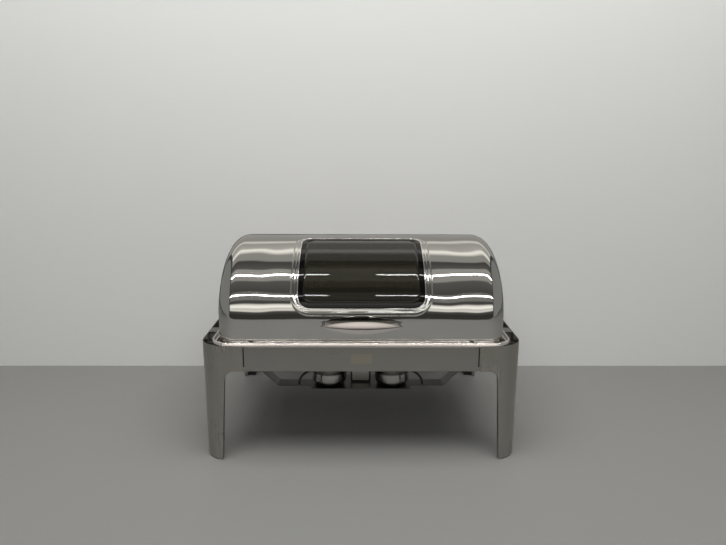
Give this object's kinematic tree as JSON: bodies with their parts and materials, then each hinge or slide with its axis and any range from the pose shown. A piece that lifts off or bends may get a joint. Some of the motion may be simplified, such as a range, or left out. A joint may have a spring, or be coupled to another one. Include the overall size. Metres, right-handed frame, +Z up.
{
  "type": "roll top chafer",
  "caption": "Rectangular buffet food warmer with a half-drum mirror lid that rolls back on side pivots, a smoked window, nested pans, gel-fuel burners and a four-legged sheet frame.",
  "frame": {"origin": "floor level, middle of the overall width and depth", "axes": "+Z up, front with the lid handle towards -Y, +X to the right seen from the front"},
  "size_m": [0.66, 0.5124, 0.4449],
  "materials": {
    "lid_mirror": "mirror-polished stainless steel",
    "rim_mirror": "mirror-polished stainless steel",
    "handle_polish": "polished stainless steel",
    "frame_steel": "satin stainless steel",
    "badge_steel": "fine satin, slightly lighter than the skirt",
    "bracket_steel": "mill finish stainless steel",
    "fastener_steel": "bright fasteners",
    "pan_steel": "smooth drawn stainless steel",
    "burner_steel": "polished stainless steel",
    "trim_chrome": "bright edge",
    "smoked_glass": "dark smoked, glossy",
    "seal_rubber": "matt black",
    "post_black": "black spacer",
    "bush_nylon": "natural nylon",
    "handle_black": "black heat-proof moulding",
    "foot_plastic": "black moulding"
  },
  "bodies": {
    "frame": {"badge": "badge_steel", "bar_screws": "fastener_steel", "burner_bar": "bracket_steel", "burner_platform": "bracket_steel", "centre_plate": "bracket_steel", "cradle_arm_left": "bracket_steel", "cradle_arm_right": "bracket_steel", "cradle_ring": "bracket_steel", "end_panel_left": "frame_steel", "end_panel_right": "frame_steel", "foot_pad_front_left": "foot_plastic", "foot_pad_front_right": "foot_plastic", "foot_pad_rear_left": "foot_plastic", "foot_pad_rear_right": "foot_plastic", "lid_bumper_left": "seal_rubber", "lid_bumper_right": "seal_rubber", "lid_stop_left": "seal_rubber", "lid_stop_right": "seal_rubber", "pivot_bracket_left": "bracket_steel", "pivot_bracket_right": "bracket_steel", "pivot_nut_left": "fastener_steel", "pivot_nut_right": "fastener_steel", "pivot_pin_left": "fastener_steel", "pivot_pin_right": "fastener_steel", "skirt_front": "frame_steel", "skirt_nuts_front": "fastener_steel", "skirt_nuts_rear": "fastener_steel", "skirt_rear": "frame_steel", "surround": "rim_mirror", "surround_bracket_front_left": "bracket_steel", "surround_bracket_front_right": "bracket_steel", "surround_bracket_rear_left": "bracket_steel", "surround_bracket_rear_right": "bracket_steel"},
    "lid": {"lid_shell": "lid_mirror", "window_glass": "smoked_glass", "window_gasket": "seal_rubber", "window_trim": "trim_chrome", "lid_handle": "handle_polish", "handle_post_left": "post_black", "handle_post_right": "post_black", "handle_screws": "fastener_steel", "lid_ear_left": "bracket_steel", "lid_ear_right": "bracket_steel", "ear_rivets": "fastener_steel", "pivot_bush_left": "bush_nylon", "pivot_bush_right": "bush_nylon"},
    "water_pan": {"water_pan": "pan_steel"},
    "food_pan": {"food_pan": "pan_steel"},
    "burner_left": {"burner_cup_left": "burner_steel", "burner_shutter_left": "burner_steel"},
    "burner_right": {"burner_cup_right": "burner_steel", "burner_shutter_right": "burner_steel"},
    "cover_left": {"burner_cover_left": "burner_steel", "cover_handle_left": "handle_black"},
    "cover_right": {"burner_cover_right": "burner_steel", "cover_handle_right": "handle_black"}
  },
  "joints": [
    {"name": "lid_roll", "type": "hinge", "parent": "frame", "child": "lid", "pos_m": [0, -0.02425, 0.243], "axis": [-1, 0, 0], "range_deg": [0, 90]},
    {"name": "water_pan_lift", "type": "slide", "parent": "frame", "child": "water_pan", "axis": [0, 0, 1], "range_m": [0, 0.02]},
    {"name": "food_pan_lift", "type": "slide", "parent": "water_pan", "child": "food_pan", "axis": [0, 0, 1], "range_m": [0, 0.06]},
    {"name": "burner_left_pull", "type": "slide", "parent": "frame", "child": "burner_left", "axis": [0, -1, 0], "range_m": [0, 0.24]},
    {"name": "burner_right_pull", "type": "slide", "parent": "frame", "child": "burner_right", "axis": [0, -1, 0], "range_m": [0, 0.24]},
    {"name": "cover_left_turn", "type": "hinge", "parent": "burner_left", "child": "cover_left", "pos_m": [-0.075, -0.02425, 0.147], "axis": [0, 0, 1], "range_deg": [-60, 60]},
    {"name": "cover_right_turn", "type": "hinge", "parent": "burner_right", "child": "cover_right", "pos_m": [0.075, -0.02425, 0.147], "axis": [0, 0, 1], "range_deg": [-60, 60]}
  ]
}
